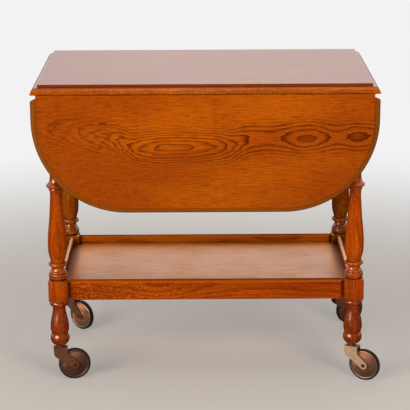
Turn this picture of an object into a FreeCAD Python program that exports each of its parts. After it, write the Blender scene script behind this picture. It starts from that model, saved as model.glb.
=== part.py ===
import FreeCAD, Part
import math
import os
from FreeCAD import Vector

# Drop leaf tea trolley: an oblong top with two rule-jointed leaves, turned legs, a railed tray
# below and four swivel casters. Millimetres, +X right, +Y to the back, +Z up. Both leaves hang.
# The functions draw about the floor under the middle of the top. Every solid is saved OFF_CENTRE to
# the left of that, so that the origin is under the middle of the whole trolley, wheels included.

# ---- driving dimensions ----
HEIGHT = 726.0                 # floor to the top surface
TOP_LENGTH = 794.0             # over the mouldings
TOP_WIDTH = 484.2
BOARD = 22.3                   # thickness of the top and the leaves
OVOLO = 15.0                   # radius of the top's moulding, and of the rule joint
SHOULDER = 1.5                 # flat between the ovolo and the fillet
TIP_ROUND = 2.0                # softened lower edge of an ovolo
ARRIS = 1.0                    # softened corner of a board
JOINT_GAP = 0.4                # between the ovolo and the leaf's cove

LEAF_LENGTH = 796.0
LEAF_DROP = 278.5              # hinge axis to the leaf's free edge
LEAF_CORNER = 217.5            # radius of the leaf's two free corners
LEAF_OVOLO = 13.5              # the leaf's own moulding is a little smaller
LEAF_SHOULDER = 1.2

LEG_X, LEG_Y = 348.9, 187.8    # leg axes
SQUARE = 45.0                  # leg blocks
TRAY_BLOCK = (200.5, 252.5)    # heights of the lower block
TOP_BLOCK_Z = 620.0            # where the upper block starts
LEG_BOTTOM = 87.5
BLOCK_ARRIS = 1.4              # softened corner of a block

RAIL_THICK = 12.5              # tray rails
RAIL_Z = (201.0, 249.0)
RAIL_OVOLO = 5.5
RAIL_FILLET = 2.0
NECK = 6.4                     # thin part of a rail beside the block
TENON_THICK = 5.5
TENON_Z = (205.0, 240.0)
TENON_DEEP = 15.0
END_RAIL_X = 346.6             # middle of the end rails
TRAY_TOP = 228.0
TRAY_THICK = 8.0
GROOVE = 4.0                   # depth of the tray board in the rails

UPPER_RAIL_HIGH = 46.0
UPPER_RAIL_THICK = 18.0
UPPER_TENON = 8.0              # tenon thickness
UPPER_SHOULDERS = (5.0, 6.0)   # rail left below and above the tenon

HINGE_X = 230.0                # middle of each hinge
HINGE_WIDE = 32.0
HINGE_PLATE = 2.0
KNUCKLE_R = 3.2
PIN_R = 1.5
HINGE_TOP_REACH = 28.0
HINGE_LEAF_REACH = 46.0
SCREW_R = 1.6
SCREW_HEAD_R = 3.4
SCREW_LONG = 14.0
SCREW_SLOT = 0.9               # width and depth
SCREW_TURN = 37.0              # from one screw's slot to the next

STAY_RADIUS = 74.0             # hinge axis to the arm's pivot, and to the fixed stud
STAY_PIVOT_DEPTH = 9.0         # pivot off the leaf's underside
STAY_STUD_IN = 34.7            # stud inwards of the hinge axis
STAY_THICK = 3.0
STAY_WIDE = 14.0
STUD_R = 3.0
STUD_HEAD_R = 5.5
RIVET_R = 2.5
RIVET_HEAD_R = 4.2

WHEEL_R = 38.1
TRAIL = 33.0                   # stem axis to axle
TYRE_DEEP = 3.6
TYRE_WIDE = 12.0
TYRE_BEND = 3.2                # rounded shoulders of the tyre
RIM_WIDE = 3.8                 # rolled rim of the wheel disc
FORK_INSIDE = 19.0
FORK_X = (-16.0, 17.0)         # a fork's cheek under its crown
FORK_BROW = (14.0, 69.4)       # radius and height of the cheek's bend behind
FORK_HOLLOW = (8.0, 68.0)      # and of the hollow before the wheel
FORK_END_R = 9.3               # round end of a cheek
FORK_SHEET = 2.0
FORK_TOP = 82.0
FORK_ARRIS = 0.5
STEM_R = 5.0
AXLE_R = 3.0
AXLE_HOLLOW_R = 2.0            # hollow in the end of the axle's rivet
SOCKET_R = 7.0
SOCKET_DEEP = 38.0
CASTER_TURN = {                # direction each wheel trails, degrees from +X
    ("front", "left"): 8.0,
    ("front", "right"): -27.0,
    ("back", "left"): -40.0,
    ("back", "right"): 26.0,
}

RUNNING = 0.05                 # radial clearance of a pin or shaft that turns
SIDE_GAP = 0.4                 # between flat faces of pieces that move past each other

# ---- worked out ----
UNDERSIDE = HEIGHT - BOARD
AXIS_Y = TOP_WIDTH / 2 - OVOLO
HALF_SQUARE = SQUARE / 2
BLOCK_X = LEG_X - HALF_SQUARE  # inner faces of the blocks
BLOCK_Y = LEG_Y - HALF_SQUARE
SIDES = {"front": -1, "back": 1}
HANDS = {"left": -1, "right": 1}


def wheel_reach(turn):
    """How far to the right the tyre of a right caster reaches."""
    along, across = math.cos(math.radians(turn)), math.sin(math.radians(abs(turn)))
    reach = (TRAIL + WHEEL_R - TYRE_BEND) * along + (TYRE_WIDE / 2 - TYRE_BEND) * across
    return LEG_X + reach + TYRE_BEND


FURTHEST = max(wheel_reach(CASTER_TURN[side, "right"]) for side in SIDES)
OFF_CENTRE = (FURTHEST - LEAF_LENGTH / 2) / 2


# ---- drawing helpers ----
class Outline:
    """A flat outline of lines, arcs and smooth curves. place(a, b) gives the point in space."""

    def __init__(self, place, a, b):
        self.place = place
        self.first = self.here = (a, b)
        self.edges = []

    def line(self, a, b):
        if math.dist(self.here, (a, b)) > 1e-6:
            self.edges.append(Part.makeLine(self.place(*self.here), self.place(a, b)))
            self.here = (a, b)
        return self

    def arc(self, via, end):
        points = [self.place(*p) for p in (self.here, via, end)]
        self.edges.append(Part.Arc(*points).toShape())
        self.here = end
        return self

    def round(self, centre, end):
        """The shorter arc about a centre to an end."""
        radius = math.dist(centre, end)
        middle = [(p + q) / 2 - c for p, q, c in zip(self.here, end, centre)]
        scale = radius / math.hypot(*middle)
        return self.arc((centre[0] + middle[0] * scale, centre[1] + middle[1] * scale), end)

    def curve(self, *points):
        spline = Part.BSplineCurve()
        spline.interpolate([self.place(*p) for p in (self.here, *points)])
        self.edges.append(spline.toShape())
        self.here = points[-1]
        return self

    def face(self):
        self.line(*self.first)
        return Part.Face(Part.Wire(self.edges))


def plane_xz(y=0.0):
    return lambda a, b: Vector(a, y, b)


def plane_yz(x=0.0):
    return lambda a, b: Vector(x, a, b)


def plane_xy(z=0.0):
    return lambda a, b: Vector(a, b, z)


def box(x, y, z):
    """A box from three (low, high) pairs, in any order."""
    low = Vector(min(x), min(y), min(z))
    return Part.makeBox(abs(x[1] - x[0]), abs(y[1] - y[0]), abs(z[1] - z[0]), low)


def rod(radius, start, end):
    start, end = Vector(*start), Vector(*end)
    return Part.makeCylinder(radius, (end - start).Length, start, end - start)


def turned(shape, degrees, axis=(0, 0, 1), centre=(0, 0, 0)):
    copy = shape.copy()
    copy.rotate(Vector(*centre), Vector(*axis), degrees)
    return copy


def moved(shape, x=0.0, y=0.0, z=0.0):
    copy = shape.copy()
    copy.translate(Vector(x, y, z))
    return copy


def mirrored(shape, x=1, y=1):
    """The shape reflected to the left for x = -1 and to the front for y = -1."""
    if x < 0:
        shape = shape.mirror(Vector(), Vector(1, 0, 0))
    if y < 0:
        shape = shape.mirror(Vector(), Vector(0, 1, 0))
    return shape


def joined(*shapes):
    return shapes[0].multiFuse(list(shapes[1:])).removeSplitter()


def save(name, *solids):
    shape = solids[0] if len(solids) == 1 else Part.makeCompound(list(solids))
    for solid in shape.Solids:
        if not solid.isValid() or solid.Volume <= 0:
            raise ValueError(f"{name} has a bad solid")
    moved(shape, x=-OFF_CENTRE).exportStep(f"parts/{name}.step")


# ---- the kind of moulded edge that the top and the leaves share ----
def edge_section(place, tip, depth, ovolo, shoulder):
    """Section of a moulded edge, from the tip of the ovolo to depth inside it, underside at 0."""
    centre, fillet = tip - ovolo, tip - ovolo - shoulder
    reach = math.sqrt((ovolo - TIP_ROUND) ** 2 - TIP_ROUND ** 2)
    grown = ovolo / (ovolo - TIP_ROUND)
    outline = Outline(place, tip - depth, 0)
    outline.line(centre + reach, 0)
    outline.round((centre + reach, TIP_ROUND), (centre + reach * grown, TIP_ROUND * grown))
    outline.round((centre, 0), (centre, ovolo))
    outline.line(fillet, ovolo)
    outline.line(fillet, BOARD - ARRIS)
    outline.round((fillet - ARRIS, BOARD - ARRIS), (fillet - ARRIS, BOARD))
    outline.line(tip - depth, BOARD)
    return outline.face()


def slab(place, half, along):
    """A board moulded on two opposite edges, centred, as long as the vector along."""
    right = edge_section(place, half, half, OVOLO, SHOULDER).extrude(along)
    left = right.mirror(Vector(), place(1, 0) - place(0, 0))
    return right.fuse(left)


# ---- hinge and stay frames: x along the axis, y outwards from it, z up from the underside ----
def at_axis(shape, side):
    """From the hinge frame to the trolley, for the back or, turned half round, the front."""
    shape = moved(shape, y=AXIS_Y, z=UNDERSIDE)
    return shape if side == "back" else turned(shape, 180)


def hung(shape, side):
    """A piece of a level leaf, turned down to hang, then placed."""
    return at_axis(turned(shape, -90, (1, 0, 0)), side)


def local_sign(side, hand):
    """Sign of x in the hinge frame for a left or right piece: the front's frame is turned round."""
    return HANDS[hand] * SIDES[side]


def countersunk_screw(x, y, z, length, way):
    """A screw whose head is flush at (x, y, z) and whose point lies way, a unit vector."""
    head = Part.makeCone(SCREW_HEAD_R, SCREW_R, HINGE_PLATE, Vector(x, y, z), way)
    shank = Part.makeCylinder(SCREW_R, length, Vector(x, y, z), way)
    return head.fuse(shank).removeSplitter()


def slotted(screws):
    """The screws with a slot across each head, which is a screw's largest flat face."""
    reach = SCREW_HEAD_R + 1
    slot = box((-reach, reach), (-SCREW_SLOT / 2, SCREW_SLOT / 2), (-SCREW_SLOT, 1))
    cut = []
    for number, screw in enumerate(screws):
        flats = [face for face in screw.Faces if isinstance(face.Surface, Part.Plane)]
        head = max(flats, key=lambda face: face.Area)
        tool = turned(slot, number * SCREW_TURN)
        tool.Placement = FreeCAD.Placement(
            head.CenterOfMass, FreeCAD.Rotation(Vector(0, 0, 1), head.normalAt(0, 0))
        ).multiply(tool.Placement)
        cut.append(screw.cut(tool))
    return cut


def cut_screws(piece, screws):
    return piece.cut(Part.makeCompound(screws))


# ---- rule joint hinges ----
def knuckle(x_low, x_high):
    return rod(KNUCKLE_R, (x_low, 0, 0), (x_high, 0, 0))


KNUCKLE_SPLIT = HINGE_WIDE / 2 - 10.6     # half length of the leaf's middle knuckle
PLATE_CLEAR = KNUCKLE_R + 1.0             # where the full width of a plate starts


def hinge_top_plate(x):
    half = HINGE_WIDE / 2
    split = KNUCKLE_SPLIT + SIDE_GAP / 2
    plate = box((x - half, x + half), (-HINGE_TOP_REACH, 0), (0, HINGE_PLATE))
    barrels = [knuckle(x - half, x - split), knuckle(x + split, x + half)]
    gap = box((x - split, x + split), (-PLATE_CLEAR, KNUCKLE_R), (-KNUCKLE_R, KNUCKLE_R))
    plate = joined(plate, *barrels).cut(gap)
    return plate.cut(rod(PIN_R, (x - half, 0, 0), (x + half, 0, 0)))


def hinge_leaf_plate(x):
    half = HINGE_WIDE / 2
    middle = KNUCKLE_SPLIT - SIDE_GAP / 2
    plate = box((x - half, x + half), (PLATE_CLEAR, HINGE_LEAF_REACH), (0, HINGE_PLATE))
    tongue = box((x - middle, x + middle), (0, PLATE_CLEAR), (0, HINGE_PLATE))
    plate = joined(plate, tongue, knuckle(x - middle, x + middle))
    return plate.cut(rod(PIN_R + RUNNING, (x - half, 0, 0), (x + half, 0, 0)))


def hinge_pin(x):
    half = HINGE_WIDE / 2
    return rod(PIN_R, (x - half, 0, 0), (x + half, 0, 0))


def hinge_top_screws(x):
    up = Vector(0, 0, 1)
    return [countersunk_screw(x + dx, y, 0, SCREW_LONG, up) for dx, y in ((-9, -12), (9, -22))]


def hinge_leaf_screws(x):
    up = Vector(0, 0, 1)
    return [countersunk_screw(x + dx, y, 0, SCREW_LONG, up) for dx, y in ((-9, 24), (9, 38))]


def hinge_recess(x):
    """Room in the top's underside for a hinge: plate, knuckle and the leaf plate when level."""
    half = HINGE_WIDE / 2
    plate = box((x - half, x + half), (-HINGE_TOP_REACH, 0), (0, HINGE_PLATE))
    barrel = box((x - half - 0.5, x + half + 0.5), (-PLATE_CLEAR, PLATE_CLEAR), (0, 4.0))
    crossing = box((x - half - 0.5, x + half + 0.5), (0, OVOLO + 1), (0, HINGE_PLATE + SIDE_GAP))
    return joined(plate, barrel, crossing)


# ---- leaf stays ----
def stay_points():
    """Pivot with the leaf hanging and fixed stud, as (outwards, up) from the hinge axis."""
    pivot_down = math.sqrt(STAY_RADIUS ** 2 - STAY_PIVOT_DEPTH ** 2)
    stud_down = math.sqrt(STAY_RADIUS ** 2 - STAY_STUD_IN ** 2)
    return (-STAY_PIVOT_DEPTH, -pivot_down), (-STAY_STUD_IN, -stud_down)


def stay_reach():
    """Distance from pivot to stud with the leaf hanging and with it level."""
    (py, pz), (sy, sz) = stay_points()
    closed = math.dist((py, pz), (sy, sz))
    half_turn = math.asin(closed / 2 / STAY_RADIUS) + math.radians(45)
    return closed, 2 * STAY_RADIUS * math.sin(half_turn)


STAY_PLATE_X = BLOCK_X - HINGE_PLATE                 # inner face of the stud plate
STAY_ARM_X = STAY_PLATE_X - SIDE_GAP - STAY_THICK    # inner face of the arm
STAY_EAR_X = STAY_ARM_X - SIDE_GAP - HINGE_PLATE     # inner face of the leaf bracket's ear


def stay_plate(sign):
    """Plate and headed stud on the inner face of a leg block."""
    y, z = stay_points()[1]
    plate = box((sign * STAY_PLATE_X, sign * BLOCK_X), (y - 12, y + 12), (z - 15, z + 15))
    stud = rod(STUD_R, (sign * STAY_PLATE_X, y, z), (sign * STAY_EAR_X, y, z))
    ends = [(sign * x, y, z) for x in (STAY_EAR_X - 0.8, STAY_ARM_X - SIDE_GAP)]
    head = rod(STUD_HEAD_R, *ends)
    return joined(plate, stud, head)


def stay_plate_screws(sign):
    y, z = stay_points()[1]
    outward = Vector(sign, 0, 0)
    return [countersunk_screw(sign * STAY_PLATE_X, y + dy, z + dz, SCREW_LONG, outward)
            for dy, dz in ((-6, -10), (6, -10), (0, 10.5))]


def slot(x, start, end, radius):
    """A round-ended bar or slot along Y, from x[0] to x[1], at z = 0."""
    ends = [rod(radius, (x[0], y, 0), (x[1], y, 0)) for y in (start, end)]
    return joined(box(x, (start, end), (-radius, radius)), *ends)


def stay_arm(sign):
    """Flat slotted bar from the leaf pivot past the stud, with a seat at the far end of the slot."""
    closed, level = stay_reach()
    x = (sign * STAY_ARM_X, sign * (STAY_ARM_X + STAY_THICK))
    slot_r = STUD_R + 0.25
    bar = slot(x, 0, level + 5, STAY_WIDE / 2)
    bar = bar.cut(slot(x, closed, level, slot_r))
    seat = slot(x, 0, 2.0, slot_r)
    bar = bar.cut(moved(turned(seat, 90, (1, 0, 0)), y=level))
    bar = bar.cut(rod(RIVET_R + RUNNING, (x[0], 0, 0), (x[1], 0, 0)))
    (py, pz), (sy, sz) = stay_points()
    slope = math.degrees(math.atan2(sz - pz, sy - py))
    bar = turned(bar, 180, (0, 1, 0), (x[0] / 2 + x[1] / 2, 0, 0))
    return moved(turned(bar, slope, (1, 0, 0)), y=py, z=pz)


def stay_bracket(sign):
    """Angle bracket under a level leaf; its ear carries the arm's pivot."""
    pivot = -stay_points()[0][1]
    ear_x = (sign * STAY_EAR_X, sign * (STAY_EAR_X + HINGE_PLATE))
    base = box((sign * (STAY_EAR_X - 18), ear_x[1]), (pivot - 13, pivot + 13), (-HINGE_PLATE, 0))
    ear = Outline(plane_yz(ear_x[0]), pivot - 10, -HINGE_PLATE)
    ear.line(pivot - 7, -STAY_PIVOT_DEPTH)
    ear.arc((pivot, -STAY_PIVOT_DEPTH - 7), (pivot + 7, -STAY_PIVOT_DEPTH))
    ear.line(pivot + 10, -HINGE_PLATE)
    ear = ear.face().extrude(Vector(sign * HINGE_PLATE, 0, 0))
    bracket = joined(base, ear)
    return bracket.cut(rod(RIVET_R, *[(x, pivot, -STAY_PIVOT_DEPTH) for x in ear_x]))


def stay_rivet(sign):
    pivot, z = -stay_points()[0][1], -STAY_PIVOT_DEPTH
    low, high = STAY_EAR_X - 1.6, STAY_PLATE_X + 1.6
    spans = [(RIVET_R, low, high), (RIVET_HEAD_R, low, STAY_EAR_X), (RIVET_HEAD_R, STAY_PLATE_X, high)]
    return joined(*[rod(r, (sign * a, pivot, z), (sign * b, pivot, z)) for r, a, b in spans])


def stay_bracket_screws(sign):
    pivot, x = -stay_points()[0][1], sign * (STAY_EAR_X - 9)
    up = Vector(0, 0, 1)
    return [countersunk_screw(x, pivot + dy, -HINGE_PLATE, SCREW_LONG, up) for dy in (-8, 8)]


# ---- boards ----
def top_board():
    lengthwise = slab(plane_yz(-TOP_LENGTH / 2), TOP_WIDTH / 2, Vector(TOP_LENGTH, 0, 0))
    crosswise = slab(plane_xz(-TOP_WIDTH / 2), TOP_LENGTH / 2, Vector(0, TOP_WIDTH, 0))
    board = moved(lengthwise.common(crosswise).removeSplitter(), z=UNDERSIDE)
    for side in SIDES:
        for x in (-HINGE_X, HINGE_X):
            board = board.cut(at_axis(hinge_recess(x), side))
            board = cut_screws(board, [at_axis(s, side) for s in hinge_top_screws(x)])
    return cut_screws(board, top_fixing_screws())


def leaf_board():
    """A level leaf in the hinge frame."""
    half, edge, radius, depth = LEAF_LENGTH / 2, LEAF_DROP, LEAF_CORNER, 40.0
    lip = -SHOULDER + JOINT_GAP
    core_half, core_edge = half - depth, edge - depth
    corner_y = edge - radius
    core = Outline(plane_xy(), -core_half, lip)
    core.line(core_half, lip).line(core_half, corner_y)
    core.round((half - radius, corner_y), (half - radius, core_edge))
    core.line(radius - half, core_edge)
    core.round((radius - half, corner_y), (-core_half, corner_y))
    core = core.face().extrude(Vector(0, 0, BOARD))

    end = edge_section(plane_xz(corner_y), half, depth, LEAF_OVOLO, LEAF_SHOULDER)
    sides = [end.extrude(Vector(0, lip - corner_y, 0))]
    sides.append(end.revolve(Vector(half - radius, corner_y, 0), Vector(0, 0, 1), 90))
    sides += [mirrored(side, x=-1) for side in sides]
    free_edge = edge_section(plane_yz(radius - half), edge, depth, LEAF_OVOLO, LEAF_SHOULDER)
    sides.append(free_edge.extrude(Vector(2 * (half - radius), 0, 0)))

    board = joined(core, *sides)
    cove = OVOLO + JOINT_GAP
    board = board.cut(rod(cove, (-half, 0, 0), (half, 0, 0)))
    board = board.cut(box((-half, half), (lip, 0), (0, cove)))
    for x in (-HINGE_X, HINGE_X):
        board = board.cut(box((x - HINGE_WIDE / 2, x + HINGE_WIDE / 2), (0, HINGE_LEAF_REACH),
                              (0, HINGE_PLATE)))
    return cut_screws(board, leaf_screws())


def leaf_screws():
    screws = []
    for sign in (-1, 1):
        screws += hinge_leaf_screws(sign * HINGE_X) + stay_bracket_screws(sign)
    return screws


# ---- legs ----
def leg_section():
    """Half section of a leg from the foot up, as (radius, height)."""
    low, high = TRAY_BLOCK
    corner = HALF_SQUARE * math.sqrt(2) + 0.5
    s = Outline(plane_xz(), 0, LEG_BOTTOM)
    s.line(9.5, LEG_BOTTOM)
    s.arc((22.3, 102.5), (18.6, 117.0))                              # ball foot
    s.curve((21.6, 127.0), (21.8, 139.0), (18.6, 158.0), (15.0, 179.0), (15.2, 185.5))
    s.line(18.0, 186.5)
    s.arc((22.2, 193.0), (20.0, 198.5))                              # bead under the block
    s.line(22.0, low)
    s.arc((28.0, low + 1.2), (corner, low + 5.5))
    s.line(corner, high - 5.5)
    s.arc((28.0, high - 1.2), (18.0, high))
    s.arc((21.4, 258.5), (21.9, 265.0))                              # cup over the block
    s.arc((21.0, 267.6), (18.6, 268.2))                              # its rim
    s.arc((19.8, 270.3), (18.4, 272.6))
    s.curve((15.7, 276.5), (14.6, 281.5), (16.0, 285.6))
    s.arc((21.8, 289.8), (16.2, 294.4))                              # ring
    s.curve((17.0, 299.5), (20.6, 313.0), (22.4, 333.0), (21.9, 355.0), (17.5, 398.3),
            (14.4, 440.0), (13.6, 456.0), (14.2, 468.0))             # long vase
    s.line(15.4, 468.8)
    s.arc((16.5, 471.8), (15.6, 474.8))                              # thin ring
    s.line(17.2, 475.6)
    s.arc((21.2, 478.2), (21.9, 482.4))                              # cup with a sharp rim
    s.curve((18.4, 485.4), (15.2, 490.0), (13.6, 496.5), (13.1, 503.0), (14.6, 517.0),
            (20.6, 550.0), (21.6, 566.0), (18.4, 581.0), (15.2, 588.0))
    s.line(17.0, 589.5)
    s.arc((21.8, 594.0), (17.0, 598.5))
    s.curve((14.8, 603.5), (18.6, 609.5))
    s.arc((22.2, 614.5), (20.0, TOP_BLOCK_Z))
    s.arc((28.0, TOP_BLOCK_Z + 1.2), (corner, TOP_BLOCK_Z + 5.5))
    s.line(corner, UNDERSIDE).line(0, UNDERSIDE)
    return s.face()


def leg():
    """The back right leg: turned, squared at its two blocks, mortised for rails and caster."""
    body = leg_section().revolve(Vector(), Vector(0, 0, 1), 360)
    square = box((-HALF_SQUARE, HALF_SQUARE), (-HALF_SQUARE, HALF_SQUARE), (LEG_BOTTOM, UNDERSIDE))
    upright = [edge for edge in square.Edges if abs(edge.tangentAt(0).z) > 0.5]
    body = body.common(square.makeFillet(BLOCK_ARRIS, upright))
    body = body.cut(rod(SOCKET_R, (0, 0, LEG_BOTTOM), (0, 0, LEG_BOTTOM + SOCKET_DEEP)))
    body = moved(body, LEG_X, LEG_Y)
    body = body.cut(long_tenon(TENON_THICK, GROOVE_Y, TENON_Z))
    body = body.cut(end_tenon(TENON_THICK, GROOVE_X, TENON_Z))
    body = body.cut(long_tenon(UPPER_TENON, LEG_Y - UPPER_TENON / 2, UPPER_TENON_Z))
    body = body.cut(end_tenon(UPPER_TENON, END_RAIL_X - UPPER_TENON / 2, UPPER_TENON_Z))
    return cut_screws(body, [at_axis(s, "back") for s in stay_plate_screws(1)])


# ---- rails: the back and the right one; the others are their reflections ----
RAIL_Y = LEG_Y - RAIL_THICK / 2           # inner faces of the tray rails
RAIL_X = END_RAIL_X - RAIL_THICK / 2
GROOVE_Y = RAIL_Y + GROOVE
GROOVE_X = RAIL_X + GROOVE
NECK_THICK = RAIL_THICK - GROOVE - RAIL_OVOLO
NECK_Z = (TENON_Z[0], RAIL_Z[1])


def long_tenon(thick, inner, z):
    """Tenon of a back rail inside the right leg block."""
    return box((BLOCK_X, BLOCK_X + TENON_DEEP), (inner, inner + thick), z)


def end_tenon(thick, inner, z):
    """Tenon of the right end rail inside the back leg block."""
    return box((inner, inner + thick), (BLOCK_Y, BLOCK_Y + TENON_DEEP), z)


def rail_section(place, inner):
    """Section of a tray rail with a fillet and ovolo on its outer top edge."""
    low, high = RAIL_Z
    outer = inner + RAIL_THICK
    round_low = high - RAIL_FILLET - RAIL_OVOLO
    s = Outline(place, inner, low)
    s.line(outer - 2, low)
    s.round((outer - 2, low + 2), (outer, low + 2))
    s.line(outer, round_low)
    s.round((outer - RAIL_OVOLO, round_low), (outer - RAIL_OVOLO, high - RAIL_FILLET))
    s.line(outer - RAIL_OVOLO, high)
    s.line(inner + 1, high)
    s.round((inner + 1, high - 1), (inner, high - 1))
    return s.face()


def tray_rail_back():
    half = BLOCK_X - NECK
    rail = rail_section(plane_yz(-half), RAIL_Y).extrude(Vector(2 * half, 0, 0))
    rail = rail.cut(box((-half, half), (RAIL_Y, GROOVE_Y), (TRAY_TOP - TRAY_THICK, TRAY_TOP)))
    neck = box((-BLOCK_X, BLOCK_X), (GROOVE_Y, GROOVE_Y + NECK_THICK), NECK_Z)
    end = BLOCK_X + TENON_DEEP
    tenon = box((-end, end), (GROOVE_Y, GROOVE_Y + TENON_THICK), TENON_Z)
    return joined(rail, neck, tenon)


def tray_rail_right():
    half = BLOCK_Y - NECK
    rail = rail_section(plane_xz(-half), RAIL_X).extrude(Vector(0, 2 * half, 0))
    rail = rail.cut(box((RAIL_X, GROOVE_X), (-half, half), (TRAY_TOP - TRAY_THICK, TRAY_TOP)))
    neck = box((GROOVE_X, GROOVE_X + NECK_THICK), (-BLOCK_Y, BLOCK_Y), NECK_Z)
    end = BLOCK_Y + TENON_DEEP
    tenon = box((GROOVE_X, GROOVE_X + TENON_THICK), (-end, end), TENON_Z)
    return joined(rail, neck, tenon)


def tray_board():
    z = (TRAY_TOP - TRAY_THICK, TRAY_TOP)
    board = box((-GROOVE_X, GROOVE_X), (-GROOVE_Y, GROOVE_Y), z)
    for x in (-1, 1):
        for y in (-1, 1):
            board = board.cut(box((x * BLOCK_X, x * LEG_X), (y * BLOCK_Y, y * LEG_Y), z))
    return board


UPPER_RAIL_Z = (UNDERSIDE - UPPER_RAIL_HIGH, UNDERSIDE)
UPPER_TENON_Z = (UPPER_RAIL_Z[0] + UPPER_SHOULDERS[0], UPPER_RAIL_Z[1] - UPPER_SHOULDERS[1])


def upper_rail_back():
    half, end = UPPER_RAIL_THICK / 2, BLOCK_X + TENON_DEEP
    rail = box((-BLOCK_X, BLOCK_X), (LEG_Y - half, LEG_Y + half), UPPER_RAIL_Z)
    half = UPPER_TENON / 2
    return joined(rail, box((-end, end), (LEG_Y - half, LEG_Y + half), UPPER_TENON_Z))


def upper_rail_right():
    half, end = UPPER_RAIL_THICK / 2, BLOCK_Y + TENON_DEEP
    rail = box((END_RAIL_X - half, END_RAIL_X + half), (-BLOCK_Y, BLOCK_Y), UPPER_RAIL_Z)
    half = UPPER_TENON / 2
    return joined(rail, box((END_RAIL_X - half, END_RAIL_X + half), (-end, end), UPPER_TENON_Z))


FIXING_WELL = 20.0             # depth of the counterbore under a rail
FIXING_R = 2.0
FIXING_HEAD_R = 4.0
FIXING_PLACES = {"long": 120.0, "end": 90.0}


def top_fixing_screw(x, y):
    """A screw up through a rail into the top."""
    head_z = UPPER_RAIL_Z[0] + FIXING_WELL
    shank = rod(FIXING_R, (x, y, head_z), (x, y, UNDERSIDE + 13))
    head = rod(FIXING_HEAD_R, (x, y, head_z - 2.5), (x, y, head_z))
    return joined(shank, head)


def fixing_points():
    for sign in (-1, 1):
        for other in (-1, 1):
            yield other * FIXING_PLACES["long"], sign * LEG_Y
            yield sign * END_RAIL_X, other * FIXING_PLACES["end"]


def top_fixing_screws():
    return [top_fixing_screw(x, y) for x, y in fixing_points()]


def bored_for_top(rail):
    bottom = UPPER_RAIL_Z[0]
    for x, y in fixing_points():
        rail = rail.cut(rod(FIXING_HEAD_R, (x, y, bottom), (x, y, bottom + FIXING_WELL)))
        rail = rail.cut(rod(FIXING_R, (x, y, bottom), (x, y, UNDERSIDE)))
    return rail


# ---- casters: stem axis at the origin, wheel trailing along +X ----
def caster_socket():
    collar = rod(8.6, (0, 0, FORK_TOP + SIDE_GAP), (0, 0, LEG_BOTTOM))
    sleeve = rod(SOCKET_R, (0, 0, LEG_BOTTOM), (0, 0, LEG_BOTTOM + SOCKET_DEEP))
    bore = rod(STEM_R + RUNNING, (0, 0, FORK_TOP), (0, 0, LEG_BOTTOM + SOCKET_DEEP - 2))
    return joined(collar, sleeve).cut(bore)


def tangent(first, first_r, second, second_r, side):
    """Ends of the straight line that touches two circles, on the left of the way from the first to
    the second for side 1. With a negative radius, it touches that circle's far side."""
    way = math.atan2(second[1] - first[1], second[0] - first[0])
    normal = way + side * math.acos((first_r - second_r) / math.dist(first, second))
    across, up = math.cos(normal), math.sin(normal)
    return [(x + r * across, z + r * up) for (x, z), r in ((first, first_r), (second, second_r))]


def fork_cheek():
    """Side plate of the fork, from the crown down to a round end about the axle."""
    behind, before = FORK_X
    brow_r, brow_z = FORK_BROW
    hollow_r, hollow_z = FORK_HOLLOW
    brow, hollow, end = (behind + brow_r, brow_z), (before + hollow_r, hollow_z), (TRAIL, WHEEL_R)
    lower = tangent(brow, brow_r, end, FORK_END_R, -1)
    upper = tangent(hollow, -hollow_r, end, FORK_END_R, 1)
    s = Outline(plane_xz(-FORK_INSIDE / 2 - FORK_SHEET), behind, FORK_TOP - FORK_SHEET)
    s.line(behind, brow_z)
    s.round(brow, lower[0])
    s.line(*lower[1])
    s.round(end, upper[1])
    s.line(*upper[0])
    s.round(hollow, (before, hollow_z))
    s.line(before, FORK_TOP - FORK_SHEET)
    cheek = s.face().extrude(Vector(0, FORK_SHEET, 0))
    rim = [edge for edge in cheek.Edges
           if abs(edge.tangentAt(edge.FirstParameter).y) < 0.5
           and edge.CenterOfMass.z < FORK_TOP - FORK_SHEET - 0.1]
    return cheek.makeFillet(FORK_ARRIS, rim)


def caster_fork():
    outside = FORK_INSIDE / 2 + FORK_SHEET
    crown = Outline(plane_yz(FORK_X[0]), -outside, FORK_TOP - FORK_SHEET)
    crown.line(outside, FORK_TOP - FORK_SHEET)
    crown.round((outside - FORK_SHEET, FORK_TOP - FORK_SHEET), (outside - FORK_SHEET, FORK_TOP))
    crown.line(FORK_SHEET - outside, FORK_TOP)
    crown.round((FORK_SHEET - outside, FORK_TOP - FORK_SHEET), (-outside, FORK_TOP - FORK_SHEET))
    crown = crown.face().extrude(Vector(FORK_X[1] - FORK_X[0], 0, 0))
    cheek = fork_cheek()
    stem = rod(STEM_R, (0, 0, FORK_TOP), (0, 0, LEG_BOTTOM + SOCKET_DEEP - 4))
    fork = joined(crown, cheek, mirrored(cheek, y=-1), stem)
    return fork.cut(rod(AXLE_R, (TRAIL, -outside, WHEEL_R), (TRAIL, outside, WHEEL_R)))


def spun(section):
    """A section drawn in the plane above the axle, as (across, height), spun about the axle."""
    return section.revolve(Vector(TRAIL, 0, WHEEL_R), Vector(0, 1, 0), 360)


def caster_axle():
    """Rivet with a domed head on each cheek and a hollow in each head."""
    outside = FORK_INSIDE / 2 + FORK_SHEET
    head_r, dome, hollow = 4.6, 2.2, 1.6
    dome_r = (head_r ** 2 + dome ** 2) / (2 * dome)
    dome_centre = outside + dome - dome_r
    brim = dome_centre + math.sqrt(dome_r ** 2 - AXLE_HOLLOW_R ** 2)
    s = Outline(plane_yz(TRAIL), 0, WHEEL_R)
    s.line(brim - hollow, WHEEL_R)
    s.line(brim - hollow, WHEEL_R + AXLE_HOLLOW_R)
    s.line(brim, WHEEL_R + AXLE_HOLLOW_R)
    s.round((dome_centre, WHEEL_R), (outside, WHEEL_R + head_r))
    s.line(outside, WHEEL_R + AXLE_R)
    s.line(0, WHEEL_R + AXLE_R)
    half = spun(s.face())
    return joined(half, mirrored(half, y=-1))


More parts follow.
